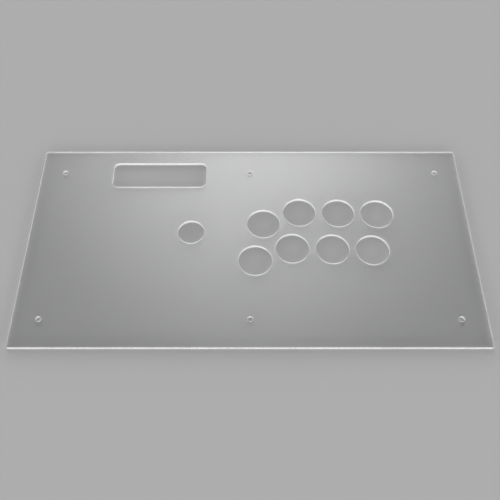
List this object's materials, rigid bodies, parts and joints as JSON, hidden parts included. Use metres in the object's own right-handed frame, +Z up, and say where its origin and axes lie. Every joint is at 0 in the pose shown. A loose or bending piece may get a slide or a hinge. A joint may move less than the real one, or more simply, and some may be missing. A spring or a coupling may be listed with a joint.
{
  "type": "arcade stick panel cover",
  "caption": "Flat clear acrylic cover sheet for an arcade stick's control panel, cut out for the joystick shaft, pushbuttons, a button-strip window and screws.",
  "frame": {"origin": "centre of the sheet's outline, on its underside", "axes": "+X to the player's right along the long side, +Y away from the player, +Z up out of the face the player sees"},
  "size_m": [0.402, 0.207, 0.003],
  "materials": {
    "clear_acrylic": "polished"
  },
  "bodies": {
    "root": {"clear_panel": "clear_acrylic"}
  },
  "joints": []
}
